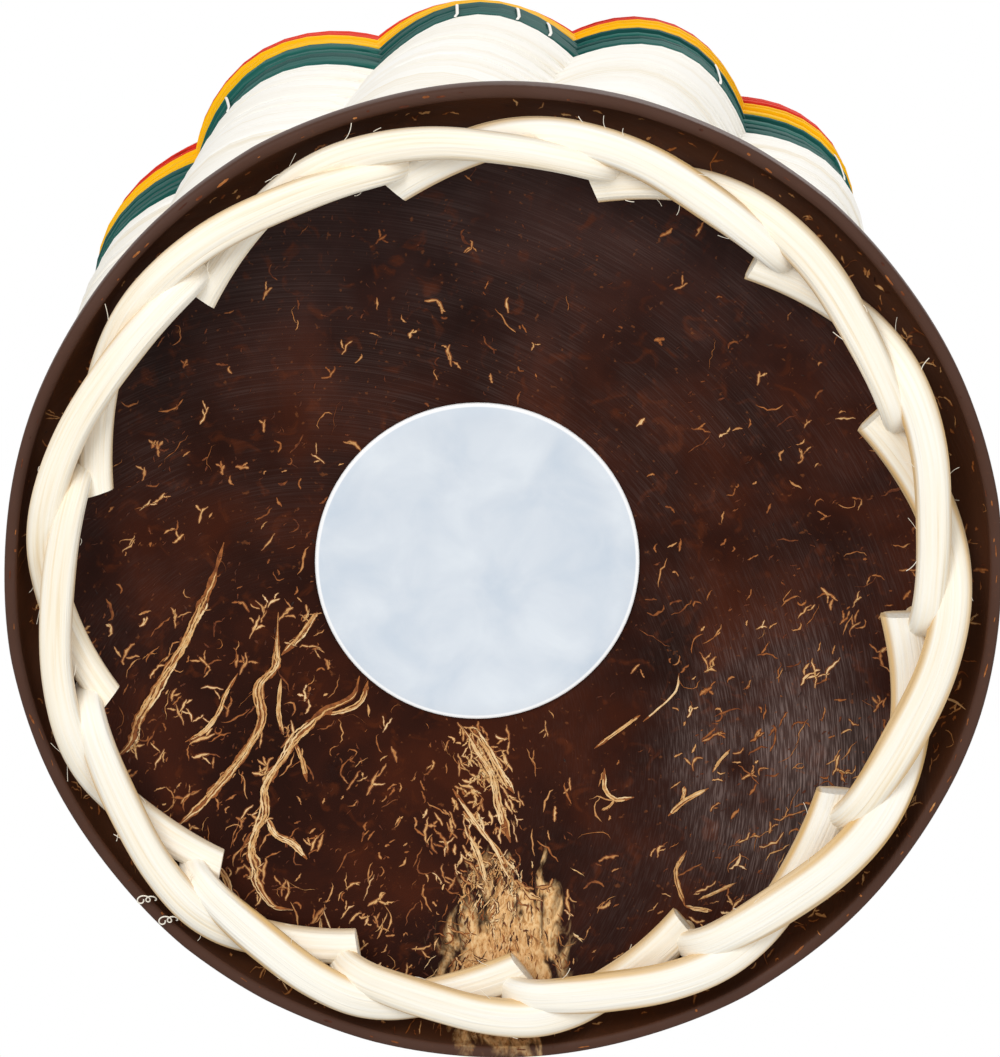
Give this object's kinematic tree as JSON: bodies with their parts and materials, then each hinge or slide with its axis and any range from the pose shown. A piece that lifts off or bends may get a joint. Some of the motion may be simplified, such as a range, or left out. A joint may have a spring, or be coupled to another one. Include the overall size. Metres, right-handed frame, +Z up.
{
  "type": "caxixi",
  "caption": "Woven basket shaker on a coconut-shell base with a braided cane border, coloured stripes, a finger loop and loose seeds inside.",
  "frame": {"origin": "middle of the ring of braided cane on which it stands, on the table", "axes": "+Z up along the basket's axis from the base to the finger loop, X along the width of the loop"},
  "size_m": [0.105, 0.1048, 0.2227],
  "materials": {
    "shell": "polished",
    "label": "satin",
    "cane": "raw",
    "weave_cream": "raw",
    "weave_green": "dyed",
    "weave_yellow": "dyed",
    "weave_red": "dyed",
    "seed": "satin"
  },
  "bodies": {
    "basket": {"shell_base": "shell", "label_disc": "label", "weave_cream_lower": "weave_cream", "weave_green": "weave_green", "weave_yellow": "weave_yellow", "weave_red": "weave_red", "weave_cream_upper": "weave_cream", "neck_binding": "cane", "crown": "weave_cream", "handle_core": "cane", "handle_wrap": "cane", "stake_01": "cane", "stake_02": "cane", "stake_03": "cane", "stake_04": "cane", "stake_05": "cane", "stake_06": "cane", "stake_07": "cane", "stake_08": "cane", "stake_09": "cane", "stake_10": "cane", "stake_11": "cane", "stake_12": "cane", "stake_13": "cane"},
    "seed_01": {"seed_01": "seed"},
    "seed_02": {"seed_02": "seed"},
    "seed_03": {"seed_03": "seed"},
    "seed_04": {"seed_04": "seed"},
    "seed_05": {"seed_05": "seed"},
    "seed_06": {"seed_06": "seed"},
    "seed_07": {"seed_07": "seed"},
    "seed_08": {"seed_08": "seed"},
    "seed_09": {"seed_09": "seed"},
    "seed_10": {"seed_10": "seed"}
  },
  "joints": [
    {"name": "seed_01_rattle", "type": "slide", "parent": "basket", "child": "seed_01", "axis": [0, 0, 1], "range_m": [0, 0.06]},
    {"name": "seed_02_rattle", "type": "slide", "parent": "basket", "child": "seed_02", "axis": [0, 0, 1], "range_m": [0, 0.06]},
    {"name": "seed_03_rattle", "type": "slide", "parent": "basket", "child": "seed_03", "axis": [0, 0, 1], "range_m": [0, 0.06]},
    {"name": "seed_04_rattle", "type": "slide", "parent": "basket", "child": "seed_04", "axis": [0, 0, 1], "range_m": [0, 0.06]},
    {"name": "seed_05_rattle", "type": "slide", "parent": "basket", "child": "seed_05", "axis": [0, 0, 1], "range_m": [0, 0.06]},
    {"name": "seed_06_rattle", "type": "slide", "parent": "basket", "child": "seed_06", "axis": [0, 0, 1], "range_m": [0, 0.06]},
    {"name": "seed_07_rattle", "type": "slide", "parent": "basket", "child": "seed_07", "axis": [0, 0, 1], "range_m": [0, 0.06]},
    {"name": "seed_08_rattle", "type": "slide", "parent": "basket", "child": "seed_08", "axis": [0, 0, 1], "range_m": [0, 0.06]},
    {"name": "seed_09_rattle", "type": "slide", "parent": "basket", "child": "seed_09", "axis": [0, 0, 1], "range_m": [0, 0.06]},
    {"name": "seed_10_rattle", "type": "slide", "parent": "basket", "child": "seed_10", "axis": [0, 0, 1], "range_m": [0, 0.06]}
  ]
}
